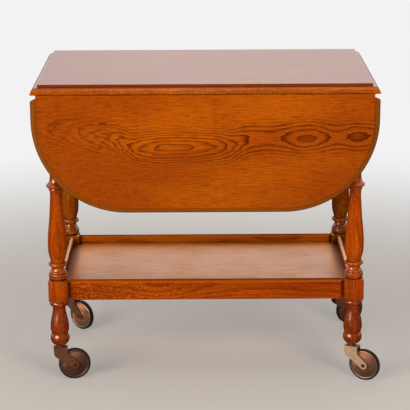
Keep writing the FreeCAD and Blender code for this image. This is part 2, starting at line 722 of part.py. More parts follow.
def wheel_disc():
    """Pressed disc with hub and rolled rim; half of its section, reflected."""
    rim = WHEEL_R - TYRE_DEEP
    hub = FORK_INSIDE / 2 - SIDE_GAP
    s = Outline(plane_yz(TRAIL), 0, WHEEL_R + AXLE_R + RUNNING)
    s.line(hub, WHEEL_R + AXLE_R + RUNNING)
    s.line(hub, WHEEL_R + 7)
    s.arc((hub - 2.6, WHEEL_R + 8.2), (4.4, WHEEL_R + 11))
    rolled = WHEEL_R + rim - RIM_WIDE
    s.line(3.0, rolled - 1.0)
    s.arc((3.5, rolled - 0.2), (4.2, rolled))
    s.arc((6.2, rolled + RIM_WIDE / 2), (4.2, WHEEL_R + rim))
    s.line(0, WHEEL_R + rim)
    half = spun(s.face())
    return joined(half, mirrored(half, y=-1))


def tyre():
    inner, wide, bend = 2 * WHEEL_R - TYRE_DEEP, TYRE_WIDE / 2, TYRE_BEND
    outer = 2 * WHEEL_R
    s = Outline(plane_yz(TRAIL), -wide, inner)
    s.line(wide, inner).line(wide, outer - bend)
    s.round((wide - bend, outer - bend), (wide - bend, outer))
    s.line(bend - wide, outer)
    s.round((bend - wide, outer - bend), (-wide, outer - bend))
    return spun(s.face())


def placed_caster(shape, side, hand):
    shape = turned(shape, CASTER_TURN[side, hand])
    return moved(shape, HANDS[hand] * LEG_X, SIDES[side] * LEG_Y)


# ---- writing the nodes ----
def save_woodwork():
    save("top_board", top_board())
    leaf = leaf_board()
    for side in SIDES:
        save(f"leaf_{side}", hung(leaf, side))
        for hand in HANDS:
            save(f"leg_{side}_{hand}", mirrored(leg(), HANDS[hand], SIDES[side]))
    long_rail, end_rail = tray_rail_back(), tray_rail_right()
    upper_long, upper_end = bored_for_top(upper_rail_back()), bored_for_top(upper_rail_right())
    for side, sign in SIDES.items():
        save(f"tray_rail_{side}", mirrored(long_rail, y=sign))
        save(f"upper_rail_{side}", mirrored(upper_long, y=sign))
    for hand, sign in HANDS.items():
        save(f"tray_rail_{hand}", mirrored(end_rail, x=sign))
        save(f"upper_rail_{hand}", mirrored(upper_end, x=sign))
    save("tray_board", tray_board())
    save("top_fixing_screws", *top_fixing_screws())


def save_hinges_and_stays():
    pins, frame_screws = [], []
    for side in SIDES:
        rivets = []
        for hand in HANDS:
            sign = local_sign(side, hand)
            x = sign * HINGE_X
            plate, stud_plate, arm = hinge_top_plate(x), stay_plate(sign), stay_arm(sign)
            hinge_screws, stay_screws = hinge_top_screws(x), stay_plate_screws(sign)
            plate = cut_screws(plate, hinge_screws)
            stud_plate = cut_screws(stud_plate, stay_screws)
            leaf_plate = cut_screws(hinge_leaf_plate(x), hinge_leaf_screws(x))
            bracket = cut_screws(stay_bracket(sign), stay_bracket_screws(sign))
            save(f"hinge_top_plate_{side}_{hand}", at_axis(plate, side))
            save(f"hinge_leaf_plate_{side}_{hand}", hung(leaf_plate, side))
            save(f"stay_plate_{side}_{hand}", at_axis(stud_plate, side))
            save(f"stay_arm_{side}_{hand}", at_axis(arm, side))
            save(f"stay_bracket_{side}_{hand}", hung(bracket, side))
            pins.append(at_axis(hinge_pin(x), side))
            frame_screws += [at_axis(s, side) for s in hinge_screws + stay_screws]
            rivets.append(hung(stay_rivet(sign), side))
        save(f"stay_rivets_{side}", *rivets)
        save(f"leaf_screws_{side}", *slotted([hung(s, side) for s in leaf_screws()]))
    save("hinge_pins", *pins)
    save("frame_screws", *slotted(frame_screws))


def save_casters():
    fork, axle, disc, rubber = caster_fork(), caster_axle(), wheel_disc(), tyre()
    sockets = []
    for side in SIDES:
        for hand in HANDS:
            save(f"caster_fork_{side}_{hand}", placed_caster(fork, side, hand))
            save(f"caster_axle_{side}_{hand}", placed_caster(axle, side, hand))
            save(f"wheel_disc_{side}_{hand}", placed_caster(disc, side, hand))
            save(f"tyre_{side}_{hand}", placed_caster(rubber, side, hand))
            sockets.append(placed_caster(caster_socket(), side, hand))
    save("caster_sockets", *sockets)


os.makedirs("parts", exist_ok=True)
save_woodwork()
save_hinges_and_stays()
save_casters()
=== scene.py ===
import math

import bpy
from bpy.props import FloatProperty, FloatVectorProperty, PointerProperty
from mathutils import Matrix, Vector


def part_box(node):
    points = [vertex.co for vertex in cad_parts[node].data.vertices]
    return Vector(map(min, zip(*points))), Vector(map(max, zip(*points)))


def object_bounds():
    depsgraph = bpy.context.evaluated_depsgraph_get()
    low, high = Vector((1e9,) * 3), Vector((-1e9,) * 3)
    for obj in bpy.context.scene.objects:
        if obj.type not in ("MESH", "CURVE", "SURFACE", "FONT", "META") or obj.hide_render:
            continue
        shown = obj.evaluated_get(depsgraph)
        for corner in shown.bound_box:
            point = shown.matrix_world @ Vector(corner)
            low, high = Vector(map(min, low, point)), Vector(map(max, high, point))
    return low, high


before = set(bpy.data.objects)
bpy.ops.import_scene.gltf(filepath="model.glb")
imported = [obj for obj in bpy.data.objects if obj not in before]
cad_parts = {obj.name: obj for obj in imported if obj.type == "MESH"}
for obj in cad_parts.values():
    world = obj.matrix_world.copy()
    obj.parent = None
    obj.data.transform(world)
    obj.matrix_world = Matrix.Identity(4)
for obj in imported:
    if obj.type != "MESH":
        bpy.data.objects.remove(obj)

bl_info = {
    "name": "Drop Leaf Tea Trolley",
    "version": (1, 0, 0),
    "blender": (4, 5, 0),
    "location": "View3D > Sidebar > Trolley",
    "description": "Finishes a stained oak tea trolley and stands it on a pale studio floor",
    "category": "Object",
}

# Metres, +X right, +Y to the back leaf, +Z up. Where a finish has a place on the trolley, it is
# measured from the box of a piece.
CAD_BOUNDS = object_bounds()
SIDES = ("front", "back")
HANDS = ("left", "right")
X, Y, Z = 0, 1, 2

FADE = 0.0003                  # half the width over which a band of finish fades
BEYOND = 0.001                 # past a face, so that a band takes in all of it
TOP_FILLET = 0.0073            # depth of the top's fillet, where its ovolo starts
TOP_OVOLO = 0.0152             # from the top's edge to just past its ovolo
LEAF_FACE = 0.0014             # from the leaf's face to just past its softened corner
LEAF_DEEP = 0.05               # more than the leaf is thick
BLOCK_OVER_RAIL = 0.003        # over the tray's rails, just below the top of a leg's block
RAIL_HIGHLIGHT = (0.006, 0.0015)   # depths of the painted highlight on the front and back rails' moulding
RAIL_BARE = 0.0035             # depth of their unpolished top
END_RAIL_LIT_TOP = 0.0006         # depth of the end rails' top, painted pale as light and sheen, and the only polished part of them
FIGURE_ASIDE = 0.0107          # from the leaf's middle to its figure's, to the right
FIGURE_UP = 0.02941            # and upwards, with the leaf down

WHITE = (1, 1, 1)
LAMP_TINT = (1.0, 0.93, 0.84)
FLOOR_WIDE = 40                # wider than any view
NEAR_WHITE = 0.25              # share of plain white in the floor by the trolley, to the eye
DIM_FLOOR = 0.01               # brightness of the floor in polish
DIM_FRONT = 0.02               # brightness of the room in front, in polish
ROOM_ABOVE = 0.06              # even light from overhead


def middle(node):
    """The middle of a piece's box."""
    low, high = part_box(node)
    return (low + high) / 2


# ---------------------------------------------------------------------------------------------
# settings
# ---------------------------------------------------------------------------------------------
def colour(name, description, default):
    return FloatVectorProperty(
        name=name, description=description, default=default, subtype="COLOR", min=0, max=1
    )


def share(name, description, default):
    return FloatProperty(
        name=name, description=description, default=default, subtype="FACTOR", min=0, max=1
    )


def length(name, description, default):
    return FloatProperty(name=name, description=description, default=default, unit="LENGTH", min=0)


class OakSettings(bpy.types.PropertyGroup):
    honey: colour("Honey", "Stain of the boards between the grain lines", (0.46, 0.096, 0.0015))
    amber: colour("Amber", "Redder stain that the boards drift to", (0.34, 0.059, 0.0015))
    # Painted reflection: the leaf's moulding is painted paler and greyer where its polish would mirror
    # the floor.
    moulding_sheen: colour("Brassy", "Duller stain on the leaf's moulding", (0.25, 0.085, 0.008))
    umber: colour("Umber", "Grain lines of the boards", (0.10, 0.012, 0.001))
    russet: colour("Russet", "Stain of the legs and rails", (0.37, 0.056, 0.0015))
    fumed: colour("Fumed", "Browner stain of the back legs and rail", (0.32, 0.075, 0.003))
    mahogany: colour("Mahogany", "Darker stain that the legs drift to", (0.19, 0.020, 0.002))
    chestnut: colour("Chestnut", "Grain lines of the legs and rails", (0.08, 0.007, 0.001))
    gold: colour("Gold", "Flecks in the grain", (0.80, 0.25, 0.015))
    # Painted light and sheen on the tops of the end rails.
    lit_rail_top: colour("Bleached", "Bare tops of the end rails", (1.0, 0.60, 0.42))
    # Painted paler than the stain: part of the tray's warm sheen and light is painted in.
    tray_tan: colour("Tray tan", "Worn stain of the tray board", (1.0, 0.36, 0.05))
    tray_brown: colour("Tray brown", "Grain lines of the tray board", (0.30, 0.075, 0.014))
    # Painted shade, and painted reflection of the legs and end rails, at the ends of the tray board.
    tray_end_shade: colour("Tray dark", "Ends of the tray board", (0.24, 0.075, 0.030))
    ring: length("Growth ring", "Width of a growth ring near the heart", 0.0085)
    heart: length("Heart", "Radius of the wide rings; those outside it are narrower", 0.022)
    polish: share("Polish", "Weight of the clear finish over the stain", 1.0)
    polish_blur: share("Polish blur", "Roughness of the clear finish", 0.16)


class MetalSettings(bpy.types.PropertyGroup):
    bronzed: colour("Bronzed steel", "Forks with their old brown finish", (0.20, 0.080, 0.042))
    worn_brass: colour("Worn brass", "The fork that is rubbed bright", (0.44, 0.29, 0.18))
    rubbed: colour("Rubbed brass", "Palest patches of that fork", (0.62, 0.44, 0.28))
    copper: colour("Copper", "Pressed discs of the wheels", (0.27, 0.115, 0.062))
    rim: colour("Rim", "Rolled rims of the wheels", (0.70, 0.55, 0.42))
    rust: colour("Rust", "Rust in the corners of the metal", (0.13, 0.035, 0.012))
    soot_and_shade: colour("Soot", "Dirt deep inside the casters and in grooves", (0.020, 0.009, 0.005))
    # Also painted shade deep inside the casters, and the colour of the axles.
    iron: colour("Iron", "Hinges and stays", (0.20, 0.16, 0.12))
    screw: colour("Screw steel", "Heads of the screws and rivets", (0.32, 0.29, 0.25))
    rubber: colour("Rubber", "Old tyres", (0.026, 0.015, 0.010))
    dust: colour("Dust", "Dust on the tyres", (0.10, 0.075, 0.05))


class StageSettings(bpy.types.PropertyGroup):
    floor: colour("Floor", "The pale floor", (0.53, 0.49, 0.44))
    floor_reach: length("Floor reach", "Radius at which the floor has turned white", 2.3)
    key: FloatProperty(name="Key lamp", description="Left softbox", default=106, unit="POWER")
    fill: FloatProperty(name="Fill lamp", description="Right softbox", default=64, unit="POWER")
    overhead: FloatProperty(name="Overhead lamp", description="Large lamp above", default=30,
                            unit="POWER")
    behind: FloatProperty(name="Back lamp", description="Softbox behind, above the top",
                          default=22, unit="POWER")
    room: share("Room light", "Even light from all round", 0.10)
    white: share("White", "Brightness of the backdrop to the eye and in polish", 0.89)
    lens: FloatProperty(name="Lens", description="Focal length in millimetres", default=139.46,
                        min=10, unit="CAMERA")


# ---------------------------------------------------------------------------------------------
# shader maths
# ---------------------------------------------------------------------------------------------
class Value:
    """A number on a shader socket. Python's arithmetic on it adds Math nodes."""

    def __init__(self, shading, socket):
        self.shading = shading
        self.socket = socket

    def math(self, operation, *others):
        inputs = dict(enumerate((self, *others)))
        return self.shading.node("ShaderNodeMath", {"operation": operation}, inputs)

    def flipped(self, operation, other):
        inputs = {0: other, 1: self}
        return self.shading.node("ShaderNodeMath", {"operation": operation}, inputs)

    def __add__(self, other):
        return self.math("ADD", other)

    def __sub__(self, other):
        return self.math("SUBTRACT", other)

    def __mul__(self, other):
        return self.math("MULTIPLY", other)

    def __truediv__(self, other):
        return self.math("DIVIDE", other)

    def __rsub__(self, other):
        return self.flipped("SUBTRACT", other)

    def __rtruediv__(self, other):
        return self.flipped("DIVIDE", other)

    __radd__ = __add__
    __rmul__ = __mul__

    def size(self, other):
        """The length of the vector of this and another number."""
        return (self * self + other * other).math("SQRT")

    def step(self, low, high):
        """0 below low, 1 above high, and a smooth ramp between."""
        inputs = {"Value": self, "From Min": low, "From Max": high}
        settings = {"interpolation_type": "SMOOTHSTEP"}
        return self.shading.node("ShaderNodeMapRange", settings, inputs)


class Shading:
    """A node tree under construction, with its coordinates as one vector and as three numbers."""

    def __init__(self, tree, space):
        self.nodes = tree.nodes
        self.links = tree.links
        self.place = self.node("ShaderNodeTexCoord", None, None, space)
        split = self.node("ShaderNodeSeparateXYZ", None, {0: self.place}).socket.node
        self.axes = [Value(self, output) for output in split.outputs]

    def node(self, kind, settings=None, inputs=None, output=0):
        """Adds a node: its settings first, then the numbers or links of its sockets."""
        made = self.nodes.new(kind)
        for key, value in (settings or {}).items():
            if key == "stops":
                self.set_stops(made.color_ramp, value)
            else:
                setattr(made, key, value)
        for key, value in (inputs or {}).items():
            self.feed(made.inputs[key], value)
        return Value(self, made.outputs[output])

    def feed(self, socket, value):
        if isinstance(value, Value):
            self.links.new(value.socket, socket)
        elif socket.type == "RGBA":
            socket.default_value = (*value[:3], 1)
        else:
            socket.default_value = value

    @staticmethod
    def set_stops(ramp, stops):
        ramp.interpolation = "CARDINAL"
        while len(ramp.elements) < len(stops):
            ramp.elements.new(0.5)
        for element, (place, value) in zip(ramp.elements, stops):
            element.position = place
            element.color = (value, value, value, 1)

    def shown_to(self, rays, shader, rest):
        """Shows a shader to one kind of ray, and another to the rest."""
        chosen = self.node("ShaderNodeLightPath", None, None, rays)
        return self.node("ShaderNodeMixShader", None, {0: chosen, 1: rest, 2: shader})


class Finish(Shading):
    """A material under construction, on the coordinates of its own piece."""

    def __init__(self, name):
        self.material = bpy.data.materials.new(name)
        self.material.use_nodes = True
        super().__init__(self.material.node_tree, "Object")
        self.shader = self.nodes["Principled BSDF"]

    def between(self, axis, low, high):
        """1 between two places on an axis and 0 outside them."""
        place = self.axes[axis]
        return place.step(low - FADE, low + FADE) * (1 - place.step(high - FADE, high + FADE))

    def vector(self, x, y, z):
        return self.node("ShaderNodeCombineXYZ", None, {0: x, 1: y, 2: z})

    def noise(self, vector, scale=1.0, detail=2.0, rough=0.5):
        inputs = {"Vector": vector, "Scale": scale, "Detail": detail, "Roughness": rough}
        return self.node("ShaderNodeTexNoise", None, inputs)

    def curve(self, value, low, high, points):
        """A smooth curve through (value, result) points; low and high are the ends of its results."""
        start, end = points[0][0], points[-1][0]
        stops = [((at - start) / (end - start), (to - low) / (high - low)) for at, to in points]
        place = (value - start) / (end - start)
        return self.node("ShaderNodeValToRGB", {"stops": stops}, {0: place}) * (high - low) + low

    def mix(self, first, second, factor):
        """Two colours mixed."""
        mixed = self.node("ShaderNodeMix", {"data_type": "RGBA"}, {"Factor": factor}, 2)
        made = mixed.socket.node
        self.feed(made.inputs[6], first)
        self.feed(made.inputs[7], second)
        return mixed

    def hollow(self, distance):
        """1 in inside corners and 0 in the open."""
        inputs = {"Distance": distance}
        return 1 - self.node("ShaderNodeAmbientOcclusion", {"samples": 6}, inputs, "AO")

    def ridge(self, distance):
        """1 on outside corners and 0 on flat faces."""
        settings = {"samples": 6, "inside": True}
        return 1 - self.node("ShaderNodeAmbientOcclusion", settings, {"Distance": distance}, "AO")

    def bump(self, height, depth):
        inputs = {"Height": height, "Distance": depth, "Strength": 1.0}
        return self.node("ShaderNodeBump", None, inputs)

    def complete(self, base, roughness, height, depth, dull=None, constants=None):
        """Feeds the shader, and sets constants on its sockets. Where dull is 1 it has no gloss."""
        normal = self.bump(height, depth)
        self.feed(self.shader.inputs["Base Color"], base)
        self.feed(self.shader.inputs["Roughness"], roughness)
        self.feed(self.shader.inputs["Normal"], normal)
        for key, value in (constants or {}).items():
            self.shader.inputs[key].default_value = value
        if dull:
            bare = {"Base Color": base, "Roughness": roughness, "Normal": normal,
                    "Specular IOR Level": 0.0}
            bare = self.node("ShaderNodeBsdfPrincipled", None, bare)
            glossy = Value(self, self.shader.outputs[0])
            surface = self.node("ShaderNodeMixShader", None, {0: dull, 1: glossy, 2: bare})
            self.feed(self.nodes["Material Output"].inputs["Surface"], surface)
        return self.material


# ---------------------------------------------------------------------------------------------
# finishes
# ---------------------------------------------------------------------------------------------
class Board:
    """How a piece of oak was cut: its grain's direction, and where the tree's middle ran."""

    def __init__(self, node, grain, below, aside=0.0, seed=0.0, patch=12, figure=None, drift=None):
        self.centre = middle(node)
        self.grain = grain           # axes along the grain, across the face, and into the wood
        self.below = below           # from the piece's middle to the tree's, into the wood
        self.aside = aside           # the same, across the face
        self.seed = seed
        self.patch = patch           # how close together the stain's light and dark streaks are
        self.figure = figure         # places along the grain and how deep the tree's middle ran
        self.drift = drift           # places along the grain and how far aside it ran


def growth(finish, oak, board):
    """Ring lines, pores and flecks of a piece of oak, two streaks, and places along and across."""
    along, across, into = [finish.axes[axis] - board.centre[axis] for axis in board.grain]
    seed = board.seed
    wide = finish.vector(along * 2.6 + seed, across * board.patch, into * board.patch)
    slow = finish.noise(wide, 1, 2)
    jag = finish.noise(finish.vector(along * 16 + seed, across * 150, into * 150), 1, 2)
    if board.figure:
        below = finish.curve(along, 0, 0.07, board.figure)
        aside = finish.curve(along, -0.06, 0.06, board.drift)
    else:
        sway = finish.noise(finish.vector(along * 3.1 + seed + 7, seed, 0), 1, 1)
        below = board.below + (sway - 0.5) * 0.05
        aside = board.aside + (slow - 0.5) * 0.03
    side, deep = across - aside, into + below
    reach = side.size(deep)
    rings = reach / oak.ring + (reach - oak.heart).math("MAXIMUM", 0) / (oak.ring * 2)
    ragged = 2.0 - along.step(-0.24, -0.12) * 1.3
    rings = rings + (slow - 0.5) * 0.9 + (jag - 0.5) * ragged
    number = rings.math("FLOOR")
    own = finish.node("ShaderNodeTexWhiteNoise", {"noise_dimensions": "1D"}, {"W": number + seed})
    if board.figure:
        faded = (1 - side.size(0).step(0.026, 0.055) * 0.85) * (0.55 + along.step(-0.32, -0.18) * 0.45)
    else:
        faded = 1 - rings.step(8, 12) * 0.75
    line = rings.math("FRACT").step(0.42, 0.97) * (0.6 + own * 0.4) * faded
    pore = finish.noise(finish.vector(along * 45 + seed, across * 520, into * 520), 1, 1)
    pore = pore.step(0.54, 0.68)
    ray = finish.noise(finish.vector(along * 150 + seed, across * 300, into * 300), 1, 2, 0.7)
    ray = ray.step(0.50, 0.68)
    streak = finish.noise(finish.vector(along * 22 + seed, across * 420, into * 420), 1, 3, 0.75)
    return line, pore, ray, streak, slow, along, across


class Oak:
    """Stain and polish of a piece of oak: its colours, and how they and the gloss vary."""

    def __init__(self, light, other, dark, **changes):
        self.light = light           # between the grain lines
        self.other = other           # where the stain drifts to
        self.dark = dark             # in the grain lines
        self.contrast = 1.0
        self.drift = 1.0             # how far the stain drifts in patches
        self.ends = (0.0, 0.1, 0.4)  # how far it has drifted at the ends, and where that starts
        self.low = None              # how much darker it is below, and the heights between
        self.fleck = 0.12            # how strong the flecks are
        self.calm = None             # places along the grain between which they fade
        self.corner = 0.006          # how far out of a corner its grime and painted shade lie
        self.band = None             # an axis, two places on it, the colour between and its share
        self.polished = None         # an axis, two places, and the polish between and elsewhere
        self.blur = 0.36             # roughness under the polish
        self.uneven = 0.1            # how much the roughness varies with the grain
        self.relief = 0.00012        # depth of the open grain
        self.clouds = 0.0            # how far the polish is worn off in clouds
        self.dull = None             # places along the grain and how much gloss is gone
        self.gloss = {}              # other constants of the shader
        for key, value in changes.items():
            setattr(self, key, value)


def oak_finish(name, settings, board, oak):
    finish = Finish(name)
    light, dark, contrast = oak.light, oak.dark, oak.contrast
    line, pore, ray, streak, slow, along, across = growth(finish, settings, board)
    amount, start, full = oak.ends
    drift = slow.step(0.35, 0.7) * oak.drift + along.size(0).step(start, full) * amount
    stain = finish.mix(light, oak.other, drift.math("MINIMUM", 1))
    flecks = ray * oak.fleck
    if oak.calm:
        flecks = flecks * (1 - along.step(*oak.calm) * 0.7)
    stain = finish.mix(stain, settings.gold, flecks)
    stain = finish.mix(stain, dark, line * contrast)
    stain = finish.mix(stain, dark, streak.step(0.36, 0.74) * (0.55 * contrast))
    stain = finish.mix(stain, dark, pore * (0.35 + line * 0.4) * contrast)
    # Inside corners are darkened: grime, and painted shade where less light falls.
    grime_and_shade = [c * 0.3 for c in dark]
    stain = finish.mix(stain, grime_and_shade, finish.hollow(oak.corner).step(0.15, 0.6) * 0.8)
    if oak.low:
        amount, high, low = oak.low
        stain = finish.mix(stain, dark, (1 - across.step(low, high)) * amount)
    # Outside edges are painted lighter: wear through the stain, and a painted highlight.
    worn = [min(1, c * 1.3) for c in light]
    stain = finish.mix(stain, worn, finish.ridge(0.003).step(0.4, 0.9) * 0.4)
    if oak.band:
        axis, low, high, tone, amount = oak.band
        stain = finish.mix(stain, tone, finish.between(axis, low, high) * amount)
    if oak.polished:
        axis, low, high, inside, outside = oak.polished
        coat = finish.between(axis, low, high) * (inside - outside) + outside
        finish.feed(finish.shader.inputs["Coat Weight"], coat)
    dull = finish.curve(along, 0, 1, oak.dull) if oak.dull else None
    rough = oak.blur + (streak + pore) * oak.uneven
    if oak.clouds:
        cloud = finish.noise(finish.place, 9, 3, 0.6).step(0.42, 0.66) * 0.6 + streak.step(0.3, 0.8)
        finish.feed(finish.shader.inputs["Coat Weight"], 1 - cloud * oak.clouds)
    height = 1 - pore * 0.8 - line * 0.25 - streak * 0.15
    gloss = {"Specular IOR Level": 0.0, "Coat Weight": settings.polish, "Coat IOR": 1.3,
             "Coat Roughness": settings.polish_blur, **oak.gloss}
    return finish.complete(stain, rough, height, oak.relief, dull, gloss)


def metal_finish(name, metal, base, worn, wear, rusting, roughness, metallic):
    """Old steel: its finish worn through on the edges, rusted in the corners, dark inside."""
    finish = Finish(name)
    patch = finish.noise(finish.place, 110, 5, 0.7)
    grit = finish.noise(finish.place, 700, 3, 0.6)
    tone = finish.mix(base, worn, patch.step(0.46, 0.66) * wear * 0.8)
    specks = finish.noise(finish.place, 260, 3, 0.7).step(0.5, 0.66)
    tone = finish.mix(tone, metal.bronzed, specks * 0.45)
    tone = finish.mix(tone, worn, finish.ridge(0.0014).step(0.35, 0.8) * wear)
    corners = finish.hollow(0.005).step(0.2, 0.8)
    rust = (patch * 0.6 + grit * 0.4).step(0.60 - 0.25 * rusting, 0.75)
    tone = finish.mix(tone, metal.rust, (rust + corners * 0.6).math("MINIMUM", 1) * rusting)
    # Deep inside the forks and under the ball feet: dirt and painted shade, in soot.
    inside = finish.hollow(0.03).step(0.3, 0.7)
    tone = finish.mix(tone, metal.soot_and_shade, inside * 0.9)
    bare = (1 - rust * rusting) * (1 - inside * 0.8)
    finish.feed(finish.shader.inputs["Metallic"], bare * metallic)
    rough = roughness + grit * 0.25 + rust * 0.15
    return finish.complete(tone, rough, grit + patch, 0.00015, constants={"Specular IOR Level": 0.2})


def disc_finish(name, metal, light, side, hand):
    """A pressed disc, rubbed in rings about its axle, with painted shade below the axle, a painted
    highlight above it, and a bright rim.
    """
    finish = Finish(name)
    low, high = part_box(f"tyre_{side}_{hand}")
    centre, radius = (low + high) / 2, (high - low).z / 2
    from_axle = finish.node("ShaderNodeVectorMath", {"operation": "DISTANCE"},
                            {0: finish.place, 1: tuple(centre)}, "Value")
    ringed = finish.noise(finish.vector(from_axle * 900, 0.3, 0.7), 1, 2)
    patch = finish.noise(finish.place, 70, 4, 0.6)
    grit = finish.noise(finish.place, 600, 3, 0.6)
    copper = [min(1, c * light) for c in metal.copper]
    # Painted shade below the axle, and a painted highlight above it to the left.
    toward_light = (finish.axes[Z] - centre.z) * 0.8 - (finish.axes[X] - centre.x) * 0.6
    tone = finish.mix([c * 0.35 for c in copper], copper, toward_light.step(-radius * 0.8, radius * 0.2))
    tone = finish.mix(tone, [c * 0.4 for c in copper], patch.step(0.38, 0.68) * 0.7)
    tone = finish.mix(tone, [min(1, c * 1.6) for c in copper], ringed.step(0.5, 0.8) * 0.3)
    pale = toward_light.step(radius * 0.05, radius * 0.6) * (0.4 + patch * 0.9)
    tone = finish.mix(tone, [min(1, c * 2.5) for c in copper], pale.math("MINIMUM", 1))
    rim = from_axle.step(radius * 0.80, radius * 0.83)
    tone = finish.mix(tone, [c * min(1, light ** 1.5) for c in metal.rim], rim * (0.5 + patch * 0.5))
    groove = rim * (1 - from_axle.step(radius * 0.83, radius * 0.85))
    # Grime in the groove, and painted shadow of the fork on the disc.
    grime_and_shade = (finish.hollow(0.009).step(0.3, 0.8) + groove).math("MINIMUM", 1)
    tone = finish.mix(tone, metal.soot_and_shade, grime_and_shade * 0.8)
    finish.feed(finish.shader.inputs["Metallic"], 0.5 + rim * 0.4 - grime_and_shade * 0.4)
    return finish.complete(tone, 0.42 + grit * 0.25 - rim * 0.15, grit + ringed * 0.4, 0.00012)


def rubber_finish(name, metal):
    """Old rubber, dusty in patches."""
    finish = Finish(name)
    dust = finish.noise(finish.place, 120, 4, 0.65)
    grit = finish.noise(finish.place, 900, 2, 0.6)
    tone = finish.mix(metal.rubber, metal.dust, dust.step(0.45, 0.75) * 0.35)
    constants = {"Specular IOR Level": 0.1}
    return finish.complete(tone, 0.62 + grit * 0.25, grit, 0.0002, constants=constants)


# ---------------------------------------------------------------------------------------------
# operators
# ---------------------------------------------------------------------------------------------
def dress(node, material):
    """Gives a piece one material."""
    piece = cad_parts[node]
    piece.data.materials.clear()
    piece.data.materials.append(material)


def deselect():
    bpy.ops.object.select_all(action="DESELECT")


class TROLLEY_OT_boards(bpy.types.Operator):
    """Finish the top and the two leaves"""
    bl_idname = "trolley.boards"
    bl_label = "Boards"

    def execute(self, context):
        oak = context.scene.trolley_oak
        # along the leaf from the figure's middle, and how deep and how far up the tree's middle ran
        figure = [(-0.397, 0.062), (-0.30, 0.048), (-0.254, 0.0393), (-0.211, 0.0314),
                  (-0.169, 0.0194), (-0.126, 0.0085), (-0.082, 0.0), (-0.033, 0.0085),
                  (0.025, 0.0194), (0.070, 0.0314), (0.118, 0.0362), (0.156, 0.0354),
                  (0.188, 0.0312), (0.203, 0.0285), (0.230, 0.0285), (0.248, 0.0312),
                  (0.285, 0.037), (0.334, 0.0335), (0.397, 0.038)]
        drift = [(-0.397, 0.042), (-0.265, 0.0224), (-0.240, 0.019), (-0.211, 0.009),
                 (-0.190, -0.004), (-0.169, -0.0115), (-0.082, -0.0115), (0.025, -0.009),
                 (0.050, -0.007), (0.075, 0.004), (0.118, 0.009), (0.22, 0.0105), (0.397, 0.013)]
        cuts = {
            "top_board": Board("top_board", (X, Y, Z), 0.075, 0.03, seed=3.0),
            "leaf_front": Board("leaf_front", (X, Z, Y), 0.0, seed=11.0, figure=figure, drift=drift),
            "leaf_back": Board("leaf_back", (X, Z, Y), -0.03, 0.02, seed=21.0),
        }
        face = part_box("leaf_front")[0].y
        x, _, z = middle("leaf_front")
        cuts["leaf_front"].centre = Vector((x + FIGURE_ASIDE, face, z + FIGURE_UP))
        # The leaf's moulding gets a painted reflection of the floor, paler and greyer than its face.
        leaf = Oak(oak.honey, oak.amber, oak.umber, corner=0.014, ends=(0.9, 0.08, 0.42),
                   low=(0.17, 0.07, -0.12),
                   band=(Y, face + LEAF_FACE, face + LEAF_DEEP, oak.moulding_sheen, 0.55))
        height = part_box("top_board")[1].z
        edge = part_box("top_board")[1].y - TOP_OVOLO
        # The top's fillet is painted darker in umber: painted shade under the top's edge.
        top = Oak(oak.honey, oak.amber, oak.umber, corner=0.008, ends=(0.4, 0.08, 0.42), fleck=0.4,
                  band=(Z, height - TOP_FILLET, height - FADE, oak.umber, 0.6),
                  polished=(Y, -edge, edge, 1.0, 0.15), gloss={"Coat IOR": 2.0})
        for node, cut in cuts.items():
            finish = top if node == "top_board" else leaf
            dress(node, oak_finish(f"oak_{node}", oak, cut, finish))
        return {"FINISHED"}


class TROLLEY_OT_legs(bpy.types.Operator):
    """Finish the four turned legs"""
    bl_idname = "trolley.legs"
    bl_label = "Legs"

    def execute(self, context):
        oak = context.scene.trolley_oak
        seed = 31.0
        # over the leg's middle, and how much gloss is gone there
        vase = [(-0.308, 0), (-0.200, 0), (-0.188, 0.8), (-0.150, 0.8), (-0.138, 0),
                (-0.112, 0), (-0.092, 0.9), (0.060, 0.9), (0.072, 0), (0.308, 0)]
        # Painted light and shade: the front right leg is painted lighter, as more light falls on it, and
        # the back right leg darker, as it stands in shade.
        stains_and_light = {("front", "left"): oak.russet, ("front", "right"): [c * 1.22 for c in oak.russet],
                  ("back", "left"): oak.fumed, ("back", "right"): [c * 0.48 for c in oak.fumed]}
        gloss = {"Coat Weight": 0.0, "IOR": 1.75, "Specular IOR Level": 0.9,
                 "Specular Tint": (1, 0.68, 0.50, 1)}
        rail_low, rail_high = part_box("tray_rail_front")
        for (side, hand), stain in stains_and_light.items():
            node = f"leg_{side}_{hand}"
            finish = Oak(stain, oak.mahogany, oak.chestnut, contrast=0.45, drift=0.6, fleck=0.25,
                         ends=(0.6, 0.16, 0.22), corner=0.0035 if side == "front" else 0.016,
                         blur=0.23, uneven=0.0, relief=0.00001, dull=vase, gloss=gloss)
            # Part of that painted light is taken back off the front right leg's block over the rails.
            if (side, hand) == ("front", "right"):
                finish.band = (Z, rail_low.z, rail_high.z + BLOCK_OVER_RAIL, oak.mahogany, 0.28)
            cut = Board(node, (Z, X, Y), 0.034, 0.008, seed=seed, patch=60)
            dress(node, oak_finish(f"oak_{node}", oak, cut, finish))
            seed += 5.0
        return {"FINISHED"}


